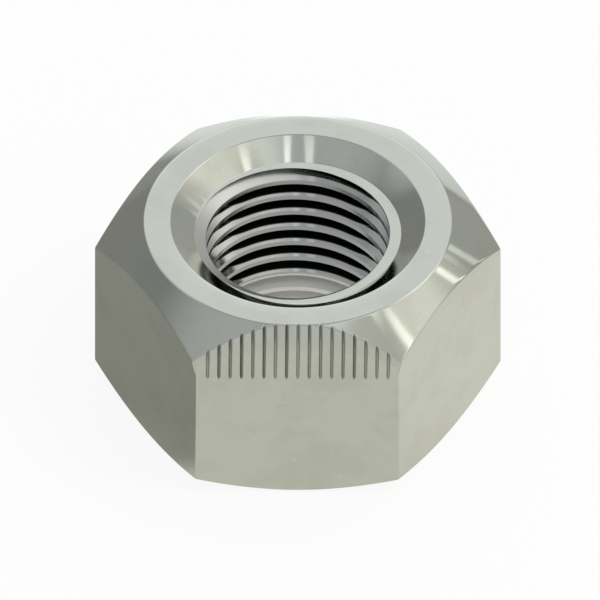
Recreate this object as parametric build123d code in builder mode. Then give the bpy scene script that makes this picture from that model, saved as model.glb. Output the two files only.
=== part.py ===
from build123d import *
import os
from math import radians, sqrt, tan

# All-metal hexagon lock nut for an M10 x 1 thread, in millimetres.
# It stands on its bearing face with the bore along +Z. Two corners of the hexagon
# lie on the X axis, and the flat that carries the press mark faces -Y.

# Thread
thread_diameter = 10.0
thread_pitch = 1.0

# Hexagon
across_flats = 17.0
height = 10.0

# Turned ends
ring_diameter = 14.88  # flat ring left round the recess
top_chamfer_angle = 37.5  # from the horizontal
ring_edge_radius = 0.25  # soft edge between the ring and the chamfer
bearing_diameter = 16.4
bottom_chamfer_angle = 28.0

# Recess in the top, down to a flat shelf round the bore
recess_diameter = 12.32
recess_depth = 0.78
shelf_clearance = 0.03  # beyond the thread, on the radius

# Lead chamfer in the bearing face
lead_clearance = 0.25  # beyond the thread, on the radius
lead_angle = 45.0

# Serrated mark pressed into one flat, which pinches the first threads
mark_foot_depth = 2.3  # foot of the mark, below the top
mark_ring_bite = 0.04  # bite of the mark into the ring
serration_count = 17
serration_width = 0.28
serration_depth = 0.14

# Derived sizes
flat_distance = across_flats / 2
corner_radius = across_flats / sqrt(3)
flat_width = corner_radius
ring_radius = ring_diameter / 2
bearing_radius = bearing_diameter / 2
recess_radius = recess_diameter / 2
minor_radius = (thread_diameter - 1.0825 * thread_pitch) / 2  # basic ISO minor diameter
shelf_radius = thread_diameter / 2 + shelf_clearance
shelf_height = height - recess_depth
lead_radius = thread_diameter / 2 + lead_clearance
lead_height = (lead_radius - minor_radius) * tan(radians(lead_angle))
stock_radius = corner_radius + 1.0  # clear of the hexagon's corners
top_drop = (stock_radius - ring_radius) * tan(radians(top_chamfer_angle))
bottom_rise = (stock_radius - bearing_radius) * tan(radians(bottom_chamfer_angle))
serration_pitch = flat_width / (serration_count + 1)

# The mark's plane leans from its foot on the flat to just inside the ring's edge
mark_foot = Vector(0, -flat_distance, height - mark_foot_depth)
mark_head = Vector(0, -(ring_radius - mark_ring_bite), height)
mark_slope = (mark_head - mark_foot).normalized()
mark_length = (mark_head - mark_foot).length
mark_plane = Plane(origin=mark_foot, x_dir=(1, 0, 0), z_dir=Vector(1, 0, 0).cross(mark_slope))
serration_plane = Plane(origin=mark_foot, x_dir=(1, 0, 0), z_dir=mark_slope)

with BuildPart() as nut_body:
    # Hexagonal bar
    with BuildSketch():
        RegularPolygon(radius=corner_radius, side_count=6)
    extrude(amount=height)

    # Both ends turned to a cone, which leaves arched edges on the six flats
    with BuildSketch(Plane.XZ):
        with BuildLine():
            Polyline(
                (0, 0),
                (bearing_radius, 0),
                (stock_radius, bottom_rise),
                (stock_radius, height - top_drop),
                (ring_radius, height),
                (0, height),
                close=True,
            )
        make_face()
    revolve(axis=Axis.Z, mode=Mode.INTERSECT)

    # Soft outer edge of the top ring
    ring_edge = nut_body.edges().filter_by(GeomType.CIRCLE).group_by(Axis.Z)[-1]
    fillet(ring_edge, ring_edge_radius)

    # Recess, shelf, bore at the thread's minor diameter, and lead chamfer
    with BuildSketch(Plane.XZ):
        with BuildLine():
            Polyline(
                (0, 0),
                (lead_radius, 0),
                (minor_radius, lead_height),
                (minor_radius, shelf_height),
                (shelf_radius, shelf_height),
                (recess_radius, height),
                (0, height),
                close=True,
            )
        make_face()
    revolve(axis=Axis.Z, mode=Mode.SUBTRACT)

    # Leaning face of the press mark
    with BuildSketch(mark_plane):
        Rectangle(2 * flat_width, 2 * mark_length)
    extrude(amount=flat_distance, mode=Mode.SUBTRACT)

    # Serrations across the mark, which run out on the flat below it
    with BuildSketch(serration_plane):
        with GridLocations(serration_pitch, 0, serration_count, 1):
            Polygon(
                (-serration_width / 2, 0),
                (serration_width / 2, 0),
                (0, serration_depth),
                align=None,
            )
    extrude(amount=2 * mark_length, both=True, mode=Mode.SUBTRACT)

nut_body.part.label = "nut_body"

os.makedirs("parts", exist_ok=True)
export_step(nut_body.part, "parts/nut_body.step")
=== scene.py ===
import bpy, bmesh
from math import atan2, cos, hypot, pi, radians, sin, sqrt, tan
from mathutils import Matrix, Vector


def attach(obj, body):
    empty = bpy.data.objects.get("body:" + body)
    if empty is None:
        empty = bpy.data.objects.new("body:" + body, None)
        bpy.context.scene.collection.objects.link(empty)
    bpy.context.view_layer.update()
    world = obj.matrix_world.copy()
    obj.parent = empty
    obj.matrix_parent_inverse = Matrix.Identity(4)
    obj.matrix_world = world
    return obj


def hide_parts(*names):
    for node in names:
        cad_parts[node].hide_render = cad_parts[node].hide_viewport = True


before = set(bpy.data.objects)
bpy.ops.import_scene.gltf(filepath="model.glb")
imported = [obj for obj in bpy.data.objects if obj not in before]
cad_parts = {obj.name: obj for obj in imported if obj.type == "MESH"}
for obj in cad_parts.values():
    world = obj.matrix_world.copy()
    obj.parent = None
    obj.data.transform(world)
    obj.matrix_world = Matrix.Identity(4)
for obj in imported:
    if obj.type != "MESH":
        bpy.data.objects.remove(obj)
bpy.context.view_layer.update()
print("frame loaded", sorted(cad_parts))

scene = bpy.context.scene
scene.view_settings.view_transform = "Standard"

# The nut is drawn in millimetres and scaled to metres at the end

hexBody = {
    "acrossFlats": 17.0,
    "height": 10.0,
    "ringRadius": 7.44,
    "ringFillet": 0.25,  # soft edge between the ring and the top chamfer
    "topChamfer": 37.5,  # degrees from the horizontal
    "bearingRadius": 8.2,
    "bottomChamfer": 28.0,
    "recessRadius": 6.16,
    "recessDepth": 0.78,
    "shelfRadius": 4.99,
    "cornerRound": 0.14,  # radius on the six upright corners
    "edgeRound": 0.055,  # softening of the other outer edges
    "flatColumns": 44,
    "cornerColumns": 5,
    "plainRow": 7.0,  # height of a row of points on flats that have no mark
    "rowGap": 0.05,
    "lipShare": 0.8,  # of the softening, from the top edge to its inner end
    "lipRow": 0.1,  # from the lip inwards, keeps the softening narrow
    "ringRow": 0.4,
}

pressMark = {
    "footHeight": 7.7,
    "headReach": 7.40,  # distance of the mark's head from the axis
    "grooves": 17,
    "halfWidth": 0.14,
    "depth": 0.14,
    # place across a groove in half widths, and the share of its depth there
    "section": [(-0.3, 0), (-0.05, 0.4), (0.15, 0.92), (0.32, 0.88), (0.65, 0.54),
                (1.15, 0.3), (1.8, 0.15), (2.3, 0.06), (2.9, 0)],
    "headShare": 0.45,  # of the depth, at the head
    "outerColumns": 6,  # between the last groove and the corner
    "core": (-0.01, 0.015, 0.05, 0.12),  # where the painted shade line across a groove comes and goes
}

screwThread = {
    "majorRadius": 5.0,
    "pitch": 1.0,
    "crestAzimuth": 18.0,  # where the first crest meets the shelf
    "turnSteps": 180,
    "turns": 15,
    "turnsBelowShelf": 12,
    "overshoot": 0.4,  # of the cutter, past the bearing face and the shelf
    "leadRadius": 5.25,
    "leadBelow": 0.5,  # of the lead's cutter, under the bearing face
    "leadDepth": 1.6,
    "leadSegments": 192,
}

meshCare = {
    "weld": 2e-4,
    "weldAfterCut": 5e-5,
    "thinnest": 1e-5,
    "sharpAngle": 30,  # degrees
    "evenWeight": 90,
}


def markLean():
    # share of its height by which the mark's face leans inwards
    return (hexBody["acrossFlats"] / 2 - pressMark["headReach"]) / (hexBody["height"] - pressMark["footHeight"])


def grooveStep():
    return hexBody["acrossFlats"] / sqrt(3) / (pressMark["grooves"] + 1)


def shelfHeight():
    return hexBody["height"] - hexBody["recessDepth"]


def zTop(radius):
    # height of the turned top outside the recess
    h = hexBody
    slope = radians(h["topChamfer"])
    back = h["ringFillet"] * tan(slope / 2)
    start = h["ringRadius"] - back
    if radius <= start:
        return h["height"]
    if radius < h["ringRadius"] + back * cos(slope):
        return h["height"] - h["ringFillet"] + sqrt(h["ringFillet"] ** 2 - (radius - start) ** 2)
    return h["height"] - (radius - h["ringRadius"]) * tan(slope)


def rounded(before, corner, after, steps=3):
    # points of a soft corner, from before to after
    points = []
    for i in range(steps + 1):
        t = i / steps
        points.append(before * (1 - t) ** 2 + corner * (2 * t * (1 - t)) + after * t ** 2)
    return points


def hexColumns():
    # plan points round the hexagon, anticlockwise from the front flat, each with its groove depth
    h, m = hexBody, pressMark
    reach = h["acrossFlats"] / 2
    half = reach * tan(pi / 6)
    arc = h["cornerRound"]
    flatEnd = half - arc * tan(pi / 6)
    columns = []
    for side in range(6):
        facing = radians(-90 + 60 * side)
        normal = Vector((cos(facing), sin(facing), 0))
        along = Vector((-sin(facing), cos(facing), 0))
        spots = []
        if side == 0:
            for k in range(m["grooves"]):
                middle = (k - (m["grooves"] - 1) / 2) * grooveStep()
                for place, share in m["section"]:
                    spots.append((middle + place * m["halfWidth"], share * m["depth"]))
            outer = spots[-1][0]
            for i in range(1, m["outerColumns"] + 1):
                rest = outer + (flatEnd - outer) * i / m["outerColumns"]
                spots += [(rest, 0.0), (-rest, 0.0)]
            spots.sort()
        else:
            for i in range(h["flatColumns"] + 1):
                spots.append((flatEnd * (2 * i / h["flatColumns"] - 1), 0.0))
        for place, depth in spots:
            columns.append((normal * reach + along * place, depth))
        centre = normal * (reach - arc) + along * (half - arc * tan(pi / 6))
        for i in range(1, h["cornerColumns"]):
            turn = facing + radians(60) * i / h["cornerColumns"]
            columns.append((centre + Vector((cos(turn), sin(turn), 0)) * arc, 0.0))
    return columns


def columnChain(plan, depth):
    # one line of points from the bearing face, up the side and over into the recess
    h, m = hexBody, pressMark
    soft = h["edgeRound"]
    radius = plan.length
    outward = plan.normalized()
    rise = radians(h["bottomChamfer"])

    def turned(r, z, direction):
        return direction * r + Vector((0, 0, z))

    chain = rounded(turned(h["bearingRadius"] - soft, 0, outward), turned(h["bearingRadius"], 0, outward),
                    turned(h["bearingRadius"] + soft * cos(rise), soft * sin(rise), outward), 2)
    lowZ = (radius - h["bearingRadius"]) * tan(rise)
    chain += rounded(turned(radius - soft * cos(rise), lowZ - soft * sin(rise), outward),
                     turned(radius, lowZ, outward), turned(radius, lowZ + soft, outward), 3)

    lean = markLean()
    landFoot = m["footHeight"] + (h["acrossFlats"] / 2 + plan.y) / lean
    foot = landFoot - depth / sin(atan2(lean, 1))

    def sideAt(z, bottom):
        # follows the mark's leaning face above its foot
        return Vector((plan.x, plan.y + max(0, z - bottom) * lean, z))

    def topEdge(bottom):
        low, high = h["plainRow"], h["height"]
        for i in range(40):
            middle = (low + high) / 2
            place = sideAt(middle, bottom)
            if zTop(hypot(place.x, place.y)) > middle:
                low = middle
            else:
                high = middle
        return sideAt(low, bottom)

    seam = foot if foot < zTop(radius) - 0.03 else h["plainRow"]
    chain += [sideAt(seam - h["rowGap"], foot), sideAt(seam, foot)]
    edge, land = topEdge(landFoot + (foot - landFoot) * m["headShare"]), topEdge(landFoot)
    inward = Vector((land.x, land.y, 0)).normalized()  # a groove doesn't bend its line further in
    lip = hypot(edge.x, edge.y) - soft * h["lipShare"]
    lipRow = lip - h["lipRow"]
    under = edge + (sideAt(seam, foot) - edge).normalized() * soft
    chain += rounded(under, edge, turned(lip, zTop(lip), inward), 3)
    chain.append(turned(lipRow, zTop(lipRow), inward))

    slope = radians(h["topChamfer"])
    start = h["ringRadius"] - h["ringFillet"] * tan(slope / 2)
    for i in range(5):
        r = min(start + h["ringFillet"] * sin(slope * (1 - i / 4)), lipRow)
        chain.append(turned(r, zTop(r), inward))
    chain.append(turned(start - h["ringRow"], h["height"], inward))

    fall = Vector((h["shelfRadius"] - h["recessRadius"], -h["recessDepth"])).normalized()
    chain += rounded(turned(h["recessRadius"] + soft, h["height"], inward),
                     turned(h["recessRadius"], h["height"], inward),
                     turned(h["recessRadius"] + soft * fall.x, h["height"] + soft * fall.y, inward), 3)
    chain.append(turned(h["shelfRadius"], shelfHeight(), inward))
    return chain


def meshObject(name, bm):
    mesh = bpy.data.meshes.new(name)
    bm.to_mesh(mesh)
    bm.free()
    made = bpy.data.objects.new(name, mesh)
    scene.collection.objects.link(made)
    return made


def cleaned(bm, weld):
    bmesh.ops.remove_doubles(bm, verts=bm.verts, dist=weld)
    bmesh.ops.dissolve_degenerate(bm, edges=bm.edges, dist=meshCare["thinnest"])


def solidBlank():
    # the nut before boring: columns joined side by side, with a disc at each end
    bm = bmesh.new()
    lines = [[bm.verts.new(p) for p in columnChain(*c)] for c in hexColumns()]
    for i, line in enumerate(lines):
        following = lines[(i + 1) % len(lines)]
        for j in range(len(line) - 1):
            bm.faces.new((line[j], following[j], following[j + 1], line[j + 1]))
    bm.faces.new([line[0] for line in reversed(lines)])
    bm.faces.new([line[-1] for line in lines])
    cleaned(bm, meshCare["weld"])
    bmesh.ops.recalc_face_normals(bm, faces=bm.faces)
    return meshObject("nutBlank", bm)


def screwPlug():
    # the space inside the thread: a helical sheet, cut level and capped
    t = screwThread
    pitch = t["pitch"]
    crest = t["majorRadius"] - 0.54127 * pitch  # metric profile
    half = [(pitch / 8, crest), (pitch * 7 / 16, t["majorRadius"])]
    section = half + [(pitch - offset, radius) for offset, radius in reversed(half)]

    bottom, top = -t["overshoot"], shelfHeight() + t["overshoot"]
    first = shelfHeight() - pitch * t["crestAzimuth"] / 360 - t["turnsBelowShelf"] * pitch
    bm = bmesh.new()
    sheet = []
    for i in range(t["turnSteps"]):
        turn = i / t["turnSteps"]
        column = []
        for k in range(t["turns"]):
            for offset, radius in section:
                z = first + (k + turn) * pitch + offset
                column.append(bm.verts.new((radius * cos(2 * pi * turn), radius * sin(2 * pi * turn), z)))
        sheet.append(column)
    for i, column in enumerate(sheet):
        last = i == len(sheet) - 1
        following = sheet[0][len(section):] if last else sheet[i + 1]
        for j in range(len(following) - 1):
            bm.faces.new((column[j], following[j], following[j + 1], column[j + 1]))
    for level, facing in ((top, 1), (bottom, -1)):
        geometry = bm.verts[:] + bm.edges[:] + bm.faces[:]
        bmesh.ops.bisect_plane(bm, geom=geometry, plane_co=(0, 0, level), plane_no=(0, 0, facing),
                               clear_outer=True, dist=1e-7)
        rim = [e for e in bm.edges if e.is_boundary and all(abs(v.co.z - level) < 1e-5 for v in e.verts)]
        bmesh.ops.edgeloop_fill(bm, edges=rim)
    bmesh.ops.recalc_face_normals(bm, faces=bm.faces)
    return meshObject("screwPlug", bm)


def leadCone():
    # 45 degree cone, which has the lead's radius at the bearing face
    t = screwThread
    depth, below = t["leadDepth"], t["leadBelow"]
    bm = bmesh.new()
    bmesh.ops.create_cone(bm, cap_ends=True, segments=t["leadSegments"], depth=depth,
                          radius1=t["leadRadius"] + below, radius2=t["leadRadius"] + below - depth,
                          matrix=Matrix.Translation((0, 0, depth / 2 - below)))
    return meshObject("leadCone", bm)


def carve(body, cutter):
    # takes the cutter's space out of the body
    cut = body.modifiers.new("cut", "BOOLEAN")
    cut.operation, cut.solver, cut.object = "DIFFERENCE", "EXACT", cutter
    graph = bpy.context.evaluated_depsgraph_get()
    carved = bpy.data.meshes.new_from_object(body.evaluated_get(graph))
    body.modifiers.clear()
    body.data = carved
    bpy.data.objects.remove(cutter)


def buildNut():
    body = solidBlank()
    carve(body, screwPlug())
    carve(body, leadCone())
    bm = bmesh.new()
    bm.from_mesh(body.data)
    cleaned(bm, meshCare["weldAfterCut"])
    bmesh.ops.triangulate(bm, faces=[f for f in bm.faces if len(f.verts) > 4])
    bmesh.ops.recalc_face_normals(bm, faces=bm.faces)
    openEdges = sum(not e.is_manifold for e in bm.edges)
    nut = meshObject("threadedNut", bm)
    mesh = nut.data
    mesh.transform(Matrix.Scale(0.001, 4))
    for face in mesh.polygons:
        face.use_smooth = True
    mesh.set_sharp_from_angle(angle=radians(meshCare["sharpAngle"]))
    bpy.data.objects.remove(body)
    shade = nut.modifiers.new("evenShading", "WEIGHTED_NORMAL")
    shade.keep_sharp, shade.weight = True, meshCare["evenWeight"]
    print("nut built", len(mesh.polygons), "faces", openEdges, "open edges")
    return nut


class Wire:
    # an output socket that takes part in arithmetic
    def __init__(self, graph, socket):
        self.graph, self.socket = graph, socket

    def maths(self, operation, other=0.0):
        return self.graph.maths(operation, self, other)

    def __add__(self, other):
        return self.maths("ADD", other)

    def __sub__(self, other):
        return self.maths("SUBTRACT", other)

    def __mul__(self, other):
        return self.maths("MULTIPLY", other)

    def __truediv__(self, other):
        return self.maths("DIVIDE", other)

    def __pow__(self, other):
        return self.maths("POWER", other)

    def __radd__(self, other):
        return self.graph.maths("ADD", other, self)

    def __rsub__(self, other):
        return self.graph.maths("SUBTRACT", other, self)

    def __rmul__(self, other):
        return self.graph.maths("MULTIPLY", other, self)

    def __abs__(self):
        return self.maths("ABSOLUTE")


class Graph:
    def __init__(self, tree):
        self.tree = tree
        tree.nodes.clear()

    def node(self, kind, settings=None, sockets=None, out=0):
        made = self.tree.nodes.new(kind)
        for name, value in (settings or {}).items():
            setattr(made, name, value)
        for key, value in (sockets or {}).items():
            if isinstance(value, Wire):
                self.tree.links.new(value.socket, made.inputs[key])
            else:
                made.inputs[key].default_value = value
        return Wire(self, made.outputs[out]) if len(made.outputs) else made

    def maths(self, operation, a, b):
        return self.node("ShaderNodeMath", {"operation": operation}, {0: a, 1: b})

    def smooth(self, value, low, high):
        return self.node("ShaderNodeMapRange", {"interpolation_type": "SMOOTHSTEP"},
                         {"Value": value, "From Min": low, "From Max": high})

    def fading(self, value, low, high):
        return 1 - self.smooth(value, low, high)

    def axes(self, vector):
        outputs = self.node("ShaderNodeSeparateXYZ", None, {0: vector}).socket.node.outputs
        return [Wire(self, output) for output in outputs]

    def noise(self, vector, scale, detail, roughness=0.5):
        return self.node("ShaderNodeTexNoise", None, {
            "Vector": vector, "Scale": scale, "Detail": detail, "Roughness": roughness})

    def mixColour(self, factor, a, b, blend="MIX"):
        return self.node("ShaderNodeMix", {"data_type": "RGBA", "blend_type": blend},
                         {"Factor": factor, 6: a, 7: b}, out=2)


def newMaterial(name):
    material = bpy.data.materials.new(name)
    material.use_nodes = True
    return material, Graph(material.node_tree)


steelLook = {
    "colour": (0.575, 0.595, 0.55, 1),
    "dullColour": (0.545, 0.56, 0.515, 1),
    "wornColour": (0.66, 0.68, 0.64, 1),
    "roughness": 0.14,
    "turnedRoughness": 0.075,
    "roughnessSpread": 0.05,
    "speckleSpread": 0.03,
    "turnedFrom": (0.2, 0.45),  # upward share of a face's direction
    "mottleScale": 420.0,
    "mottleEdge": (0.42, 0.66),
    "speckleScale": 3600.0,
    "speckleEdge": (0.60, 0.74),
    "wornShare": 0.35,
    "drawnScale": 5200.0,
    "drawnStretch": 0.04,  # along the bar
    "drawnDepth": 1.6,  # of the drawn lines, in turning depths
    "turningPitch": 0.00009,  # metres between the tool's lines
    "turningWaver": 3.0,
    "turningDepth": 0.0000004,
    "bumpStrength": 0.35,
}

# Painted shade in the bore: a darker tone over the whole bore and on the crests, a near-black painted band deep in
# the thread on the far side, and a painted lighter tone low down and on the first turn.
# Heights are in millimetres, which are also turns of this thread
borePaintedShade = {
    "boreShadeColour": (0.45, 0.46, 0.45, 1),
    "crestShadeColour": (0.36, 0.385, 0.41, 1),
    "paintedLightColour": (0.78, 0.78, 0.78, 1),
    "nearBlackShade": (0.006, 0.006, 0.005, 1),
    "radiusEdge": (5.005, 5.02),
    "shelfEdge": (0.9, 0.97),  # upward share of a face's direction
    "middle": 0.365,  # of the painted thread shade's band, over the crest below it
    "half": 0.16,
    "soft": 0.02,
    "narrows": (0.56, 0.85),  # sine of the azimuth over which the band gains its width
    "ends": (0.64, 0.72),
    "thinsFrom": 0.94,  # below the shelf, towards which the band thins
    "thinning": 1.4,
    "lowTurns": (1.7, 2.1),  # dull, painted lighter and without the painted thread shade below this
    "firstTurn": (0.84, 0.76),  # below the shelf
    "firstShare": 0.6,
    "crestHalf": (0.12, 0.13),
    "shadeBandRoughness": 0.25,
    "dullRoughness": 0.4,
}

# Painted shade in the core of each groove of the press mark, stronger in some grooves than in others
grooveShadeLook = {
    "colour": (0.09, 0.095, 0.09, 1),
    "below": (0.005, 0.04),  # the mark's plain face
    "deepest": (0.2, 0.25),
    "reach": (4.5, 4.6),  # either way from the flat's middle
    "faceUp": (0.5, 0.6),
    "least": 0.35,
    "spread": 0.55,  # from groove to groove
}

mm = 1000
keepAbove = 20  # whole turns or grooves added, so that a fraction is taken of a positive number


def boreMasks(g, x, y, height, up, radius):
    # masks for the painted shade in the bore and on the crests, the painted lighter tone low down, and the
    # near-black painted shade in the thread
    b = borePaintedShade
    turn = y.maths("ARCTAN2", x) * (1 / (2 * pi))
    shelf = shelfHeight()
    phase = (height - turn + (screwThread["crestAzimuth"] / 360 - shelf + keepAbove)).maths("FRACT")
    crestBelow = height - phase
    thinned = (crestBelow - (shelf - b["thinsFrom"])).maths("MAXIMUM", 0.0) * b["thinning"] * 0.5
    inBore = g.fading(radius * mm, *b["radiusEdge"]) * g.fading(up, *b["shelfEdge"])
    half = b["half"] * g.smooth(y / radius, *b["narrows"])
    away = abs(phase - thinned - b["middle"]) + thinned
    # near-black painted shade deep in the thread, only on the far side of the bore
    threadShade = g.fading(away - half, -b["soft"], b["soft"]) * g.smooth(y / radius, *b["ends"]) * inBore
    threadShade = threadShade * g.smooth(crestBelow, *b["lowTurns"])
    first = g.smooth(crestBelow, *(shelf - depth for depth in b["firstTurn"]))
    # rougher and painted lighter low in the bore, and partly on the first turn under the shelf
    dullAndLit = (g.fading(crestBelow, *b["lowTurns"]) + first * b["firstShare"]) * inBore
    crest = g.fading(abs((phase + 0.5).maths("FRACT") - 0.5), *b["crestHalf"]) * inBore
    return inBore, crest, dullAndLit, threadShade


def paintedCoreShade(g, x, y, height, up):
    # painted shade along the core of each groove, standing in for the groove's own shadow
    k, m = grooveShadeLook, pressMark
    groove = x * (mm / grooveStep()) + (keepAbove + 0.5)
    across = (groove.maths("FRACT") - 0.5) * grooveStep()
    below = y * mm + hexBody["acrossFlats"] / 2 - (height - m["footHeight"]).maths("MAXIMUM", 0.0) * markLean()
    comes, full, fades, gone = m["core"]
    core = g.smooth(across, comes, full) * g.fading(across, fades, gone)
    chance = g.node("ShaderNodeTexWhiteNoise", {"noise_dimensions": "1D"}, {"W": groove.maths("FLOOR")})
    coreShade = core * (chance * k["spread"] + k["least"])
    coreShade = coreShade * g.smooth(below, *k["below"]) * g.fading(below, *k["deepest"])
    return coreShade * g.fading(abs(x) * mm, *k["reach"]) * g.fading(up, *k["faceUp"])


def satinSteel():
    s, b = steelLook, borePaintedShade
    material, g = newMaterial("satinSteel")
    place = g.node("ShaderNodeTexCoord", out="Object")
    x, y, z = g.axes(place)
    up = g.axes(g.node("ShaderNodeNewGeometry", out="Normal"))[2]
    radius = (x * x + y * y) ** 0.5
    turned = g.smooth(abs(up), *s["turnedFrom"])

    mottle = g.noise(place, s["mottleScale"], 4.0, 0.55)
    speckle = g.noise(place, s["speckleScale"], 3.0)
    stretched = g.node("ShaderNodeMapping", None, {"Vector": place, "Scale": (1, 1, s["drawnStretch"])})
    drawn = g.noise(stretched, s["drawnScale"], 2.0)
    wave = (radius * (2 * pi / s["turningPitch"]) + mottle * s["turningWaver"]).maths("SINE")
    lines = turned * wave + (1 - turned) * (drawn - 0.5) * s["drawnDepth"]

    height = z * mm
    inBore, crest, dullAndLit, threadShade = boreMasks(g, x, y, height, up, radius)
    coreShade = paintedCoreShade(g, x, y, height, up)
    colour = g.mixColour(g.smooth(mottle, *s["mottleEdge"]), s["colour"], s["dullColour"])
    colour = g.mixColour(g.smooth(speckle, *s["speckleEdge"]) * s["wornShare"], colour, s["wornColour"])
    # painted shade in the bore, on the crests and in the groove cores, a painted lighter tone low in the bore, and
    # near-black painted shade deep in the thread
    for mask, over in ((inBore, b["boreShadeColour"]), (crest, b["crestShadeColour"]), (dullAndLit, b["paintedLightColour"]),
                       (coreShade, grooveShadeLook["colour"]), (threadShade, b["nearBlackShade"])):
        colour = g.mixColour(mask, colour, over)
    roughness = s["roughness"] + (s["turnedRoughness"] - s["roughness"]) * turned
    roughness = roughness + threadShade * b["shadeBandRoughness"] + dullAndLit * b["dullRoughness"]
    roughness = roughness + (mottle - 0.5) * s["roughnessSpread"] + (speckle - 0.5) * s["speckleSpread"]
    bump = g.node("ShaderNodeBump", None, {
        "Strength": s["bumpStrength"], "Distance": s["turningDepth"], "Height": lines})
    shader = g.node("ShaderNodeBsdfPrincipled", None, {
        "Base Color": colour, "Metallic": 1.0, "Roughness": roughness, "Normal": bump})
    g.node("ShaderNodeOutputMaterial", None, {"Surface": shader})
    return material


# Pale sheet under the nut. Polished faces see a glowing copy of it with painted shade and light, dark on the left,
# brightest to the right and behind, with a painted warm tint. Edges are in metres, and a way is the direction
# across an edge in plan
floorLook = {
    "colour": (0.82, 0.82, 0.81, 1),
    "size": 1.2,
    "shownWhite": 0.86,  # share of plain white that the camera sees
    "whiteStrength": 1.04,
    "mirrorShare": 0.9,
    "frontLevel": 0.80,
    "leftLevel": 0.33,
    "rightLevel": 0.92,
    "clearOfNut": (0.0062, 0.0085),
    "leftWay": (-0.866, 0.5),
    "leftEdge": (0.0002, 0.0028),
    "farLeftWay": (-1.0, -0.22),
    "farLeftEdge": (0.001, 0.010),
    "rightEdge": (-0.006, 0.008),
    "glow": 0.40,  # painted glow, right behind the nut
    "glowEdge": (0.0008, 0.004),
    "behindEdge": (0.004, 0.016),
    "tint": (1.0, 0.985, 0.88, 1),
    "farTint": (0.97, 1.0, 0.98, 1),
}


def paleFloor():
    f = floorLook
    bm = bmesh.new()
    bmesh.ops.create_grid(bm, x_segments=2, y_segments=2, size=f["size"])
    floor = meshObject("paleFloor", bm)
    material, g = newMaterial("paleSheet")
    seen = g.node("ShaderNodeLightPath", out="Is Camera Ray")
    path = seen.socket.node.outputs
    glossy, through = Wire(g, path["Is Glossy Ray"]), Wire(g, path["Is Transmission Ray"])
    x, y, z = g.axes(g.node("ShaderNodeNewGeometry", out="Position"))

    def past(way, edge):
        return g.smooth(x * way[0] + y * way[1], *edge)

    leftSide = past(f["leftWay"], f["leftEdge"]) * past(f["farLeftWay"], f["farLeftEdge"])
    leftSide = leftSide * g.smooth((x * x + y * y) ** 0.5, *f["clearOfNut"])
    rightSide = g.smooth(x + y, *f["rightEdge"])
    behind = g.smooth(y, *f["behindEdge"])
    # painted shade on the left and painted glow behind, seen only in reflections
    level = f["frontLevel"] + (f["rightLevel"] - f["frontLevel"]) * rightSide
    level = level * (1 - leftSide) + f["leftLevel"] * leftSide
    level = level + behind * g.fading(abs(x), *f["glowEdge"]) * f["glow"]
    tint = g.mixColour(behind, f["tint"], f["farTint"])
    sheet = g.node("ShaderNodeBsdfDiffuse", None, {"Color": f["colour"]})
    white = g.node("ShaderNodeEmission", None, {"Color": (1, 1, 1, 1), "Strength": f["whiteStrength"]})
    mirrored = g.node("ShaderNodeEmission", None, {"Color": g.mixColour(1.0, tint, level, "MULTIPLY")})
    shown = g.node("ShaderNodeMixShader", None, {0: seen * f["shownWhite"], 1: sheet, 2: white})
    shader = g.node("ShaderNodeMixShader", None, {0: (glossy + through) * f["mirrorShare"], 1: shown, 2: mirrored})
    g.node("ShaderNodeOutputMaterial", None, {"Surface": shader})
    floor.data.materials.append(material)


# Softly lit room: azimuth from +X towards +Y and elevation in degrees, then the patch's
# full and fading half widths and its level over the plain grey
roomLook = {
    "plain": 0.31,
    "patches": [
        (90, 43, 12, 34, 0.66),
        (-10, 45, 14, 46, 0.64),
        (-90, 6, 14, 36, 0.42),
        (-125, 64, 8, 50, 0.26),
        (90, 12, 12, 30, 0.50),
        (45, 14, 14, 30, 0.19),
        (40, 52, 6, 18, 0.70),
        (144, 50, 6, 18, 0.35),
        (-31, 53, 4, 15, -0.32),
        (2, 42, 8, 18, 0.10),
    ],
    # azimuth, half width, lowest and highest elevation, level
    "strips": [
        (-12, 1.5, 42, 53, 0.85),
        (-18, 2.0, 56, 63, 0.80),
        (25, 1.4, 20, 34, 0.95),
        (33, 1.2, 24, 32, 0.25),
        (37.5, 1.3, 12, 26, 0.5),
        (-72, 1.6, 58, 76, 0.85),
        (-109, 2.2, 58, 76, 0.6),
    ],
    "stripSoft": (0.8, 1.2),  # shares of the half width between which a strip fades
    "endSoft": 0.03,
    "cool": (0.97, 1.0, 0.995, 1),
    "warm": (1.0, 0.985, 0.91, 1),  # around the main light, on the right
    "warmAim": (5, 40),
    "warmEdge": (0.7, 0.95),
    "low": (1.0, 0.99, 0.93, 1),  # near the horizon
    "lowEdge": (0.45, 0.12),
}


def aimed(azimuth, elevation):
    a, e = radians(azimuth), radians(elevation)
    return Vector((cos(a) * cos(e), sin(a) * cos(e), sin(e)))


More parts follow.
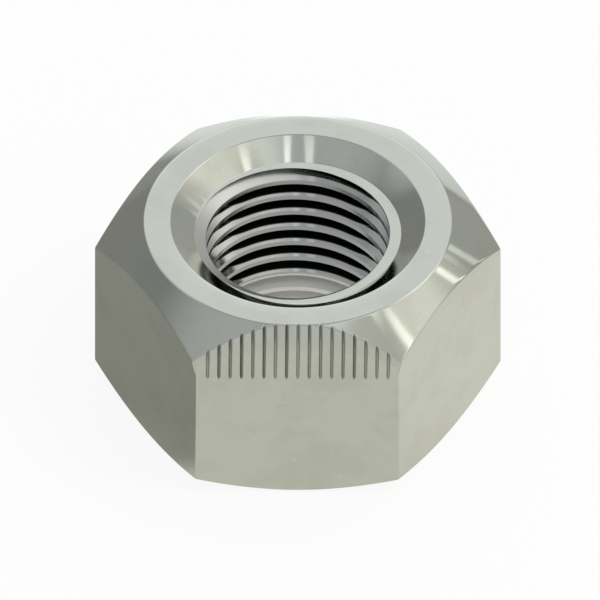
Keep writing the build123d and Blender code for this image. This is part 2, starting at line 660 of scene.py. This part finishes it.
def softRoom():
    r = roomLook
    world = bpy.data.worlds.new("softRoom")
    scene.world = world
    world.use_nodes = True
    g = Graph(world.node_tree)
    ray = g.node("ShaderNodeTexCoord", out="Generated")

    def facing(direction):
        return g.node("ShaderNodeVectorMath", {"operation": "DOT_PRODUCT"}, {0: ray, 1: direction}, out="Value")

    height = facing(Vector((0, 0, 1)))

    def above(elevation):
        edge = sin(radians(elevation))
        return g.smooth(height, edge - r["endSoft"], edge + r["endSoft"])

    level = r["plain"]
    for azimuth, elevation, full, fade, gain in r["patches"]:
        level = level + g.smooth(facing(aimed(azimuth, elevation)), cos(radians(fade)), cos(radians(full))) * gain
    for azimuth, half, low, high, gain in r["strips"]:
        across = abs(facing(aimed(azimuth + 90, 0)))
        near = g.fading(across, *(sin(radians(half * share)) for share in r["stripSoft"]))
        inFront = g.smooth(facing(aimed(azimuth, 0)), 0.0, 0.1)
        level = level + near * inFront * above(low) * (1 - above(high)) * gain
    seen = g.node("ShaderNodeLightPath", out="Is Camera Ray")
    tint = g.mixColour(g.smooth(facing(aimed(*r["warmAim"])), *r["warmEdge"]), r["cool"], r["warm"])
    tint = g.mixColour(g.smooth(height, *r["lowEdge"]), tint, r["low"])
    lit = g.node("ShaderNodeBackground", None, {"Color": g.mixColour(1.0, tint, level, "MULTIPLY")})
    white = g.node("ShaderNodeBackground", None, {"Color": (1, 1, 1, 1)})
    shader = g.node("ShaderNodeMixShader", None, {0: seen, 1: lit, 2: white})
    g.node("ShaderNodeOutputWorld", None, {"Surface": shader})


keyLamp = {"aim": (-15, 54), "distance": 0.45, "size": 0.14, "watts": 0.3}


def hangLamp():
    k = keyLamp
    light = bpy.data.lights.new("keyLamp", "AREA")
    light.shape, light.size, light.energy = "SQUARE", k["size"], k["watts"]
    hung = bpy.data.objects.new("keyLamp", light)
    way = aimed(*k["aim"])
    hung.location = way * k["distance"]
    hung.rotation_euler = way.to_track_quat("Z", "Y").to_euler()
    hung.visible_camera = hung.visible_glossy = False  # the room's bright patches stand for it
    scene.collection.objects.link(hung)


cameraLook = {
    "azimuth": 0.3,
    "elevation": 42.8,
    "width": 0.02897,  # metres across the picture
    "aim": (0.000106, 0.0, 0.0048),
    "distance": 0.4,
}


def setCamera():
    c = cameraLook
    lens = bpy.data.cameras.new("viewCamera")
    lens.type, lens.ortho_scale = "ORTHO", c["width"]
    lens.clip_start, lens.clip_end = 0.01, 5.0
    camera = bpy.data.objects.new("viewCamera", lens)
    back = aimed(c["azimuth"] - 90, c["elevation"])
    camera.location = Vector(c["aim"]) + back * c["distance"]
    camera.rotation_euler = back.to_track_quat("Z", "Y").to_euler()
    scene.collection.objects.link(camera)
    scene.camera = camera


setCamera()
paleFloor()
softRoom()
hangLamp()
print("room, lamp and camera set")

nut = buildNut()
nut.data.materials.append(satinSteel())
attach(nut, "root")
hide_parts("nut_body")
